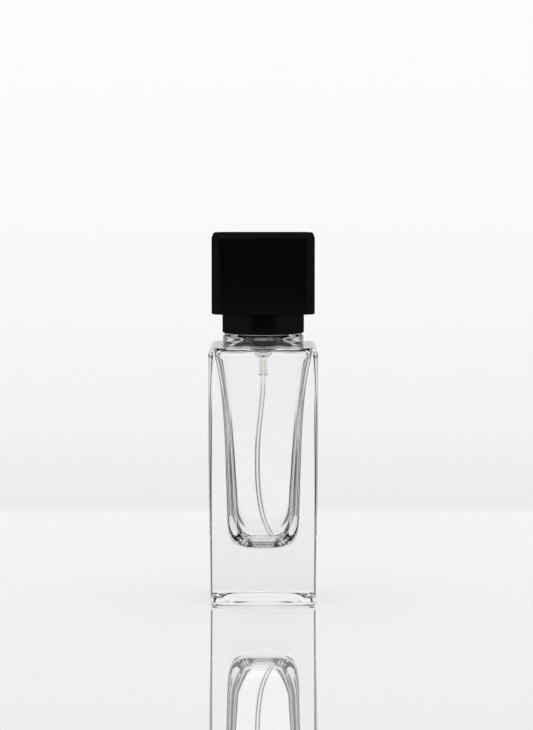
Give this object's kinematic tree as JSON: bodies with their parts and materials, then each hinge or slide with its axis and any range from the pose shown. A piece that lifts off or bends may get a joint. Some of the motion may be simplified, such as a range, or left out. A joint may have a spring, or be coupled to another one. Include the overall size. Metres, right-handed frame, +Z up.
{
  "type": "aftershave bottle",
  "caption": "Square thick-based glass aftershave bottle with a crimped spray pump, a dip tube, a round black collar and a square black pull-off cap.",
  "frame": {"origin": "centre of the square base, on the surface the bottle stands on", "axes": "+Z up along the pump's axis; the nozzle faces -Y; +X is to the right seen from the nozzle side"},
  "size_m": [0.033, 0.033, 0.1116],
  "materials": {
    "clear_glass": "clear polished flint glass",
    "gasket_plastic": "soft white sealing foam",
    "crimp_aluminium": "drawn, satin",
    "black_collar": "satin black",
    "housing_plastic": "milky translucent moulding",
    "natural_plastic": "natural white moulding",
    "seal_rubber": "matt black rubber",
    "piston_plastic": "pale moulding",
    "spring_steel": "drawn stainless wire",
    "ball_steel": "polished stainless",
    "tube_plastic": "clear extruded tube",
    "actuator_plastic": "white moulding",
    "black_sleeve": "black anodised, satin",
    "insert_plastic": "white moulding",
    "black_cap": "satin black with a fine moulded grain",
    "liner_plastic": "black moulding"
  },
  "bodies": {
    "bottle": {"glass_bottle": "clear_glass", "neck_gasket": "gasket_plastic", "crimp_ferrule": "crimp_aluminium", "shoulder_collar": "black_collar", "pump_housing": "housing_plastic", "turret": "natural_plastic", "stem_seal": "seal_rubber", "return_spring": "spring_steel", "dip_tube": "tube_plastic"},
    "stem": {"upper_stem": "natural_plastic", "lower_stem": "natural_plastic", "priming_spring": "spring_steel"},
    "piston": {"piston": "piston_plastic"},
    "actuator": {"actuator_core": "actuator_plastic", "actuator_sleeve": "black_sleeve", "nozzle_insert": "insert_plastic"},
    "inlet_ball": {"inlet_ball": "ball_steel"},
    "cap_liner": {"cap_liner": "liner_plastic"},
    "cap_shell": {"cap_shell": "black_cap"}
  },
  "joints": [
    {"name": "pump_press", "type": "slide", "parent": "bottle", "child": "stem", "axis": [0, 0, 1], "range_m": [-0.0038, 0], "stiffness_N_per_m": 1500, "deforming": ["return_spring"]},
    {"name": "piston_slip", "type": "slide", "parent": "stem", "child": "piston", "axis": [0, 0, 1], "range_m": [0, 0.0004], "stiffness_N_per_m": 400, "deforming": ["priming_spring"]},
    {"name": "actuator_turn", "type": "hinge", "parent": "stem", "child": "actuator", "pos_m": [0, 0, 0.0995], "axis": [0, 0, 1], "continuous": true},
    {"name": "ball_lift", "type": "slide", "parent": "bottle", "child": "inlet_ball", "axis": [0, 0, 1], "range_m": [0, 0.0007]},
    {"name": "cap_pull", "type": "slide", "parent": "bottle", "child": "cap_liner", "axis": [0, 0, 1], "range_m": [0, 0.032]},
    {"name": "cap_turn", "type": "hinge", "parent": "cap_liner", "child": "cap_shell", "pos_m": [0, 0, 0.0995], "axis": [0, 0, 1], "continuous": true}
  ]
}
